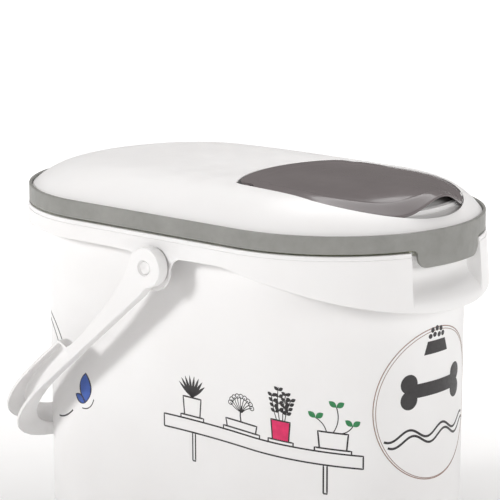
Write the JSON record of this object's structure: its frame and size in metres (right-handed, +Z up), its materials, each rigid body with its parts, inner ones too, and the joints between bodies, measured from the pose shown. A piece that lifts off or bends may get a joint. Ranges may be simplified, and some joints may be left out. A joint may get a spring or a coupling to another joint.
{
  "type": "pet food bin",
  "caption": "Oblong plastic bin for dry pet food with a round-ended bucket, a hinged lid, a pouring flap and a handle that swings over the lid.",
  "frame": {"origin": "centre of the bucket's flat base, on the floor", "axes": "+Z up; X along the bin's length with +X towards the flap and the lid's tab; Y across the bin"},
  "size_m": [0.5012, 0.3136, 0.4232],
  "materials": {
    "white_plastic": "satin",
    "grey_plastic": "satin, finely grained",
    "olive_seal": "matt",
    "smoke_plastic": "gloss",
    "steel": "drawn",
    "ink_dark": "printed",
    "ink_magenta": "printed",
    "ink_blue": "printed",
    "ink_green": "printed",
    "ink_brown": "printed"
  },
  "bodies": {
    "bin": {"bucket": "white_plastic", "collar": "white_plastic", "lid_hinge_pin": "steel", "handle_pin_right": "white_plastic", "handle_pin_left": "white_plastic"},
    "lid": {"lid_rim": "grey_plastic", "lid_shell": "white_plastic", "lid_seal": "olive_seal", "flap_pin_right": "steel", "flap_pin_left": "steel"},
    "flap": {"flap": "smoke_plastic"},
    "handle": {"handle": "white_plastic"}
  },
  "joints": [
    {"name": "lid_hinge", "type": "hinge", "parent": "bin", "child": "lid", "pos_m": [-0.246, 0, 0.378], "axis": [0, -1, 0], "range_deg": [0, 105]},
    {"name": "flap_hinge", "type": "hinge", "parent": "lid", "child": "flap", "pos_m": [0.057, 0, 0.4153], "axis": [0, -1, 0], "range_deg": [0, 100]},
    {"name": "handle_swing", "type": "hinge", "parent": "bin", "child": "handle", "pos_m": [0.005, 0, 0.348], "axis": [0, 1, 0], "range_deg": [0, 263]}
  ]
}
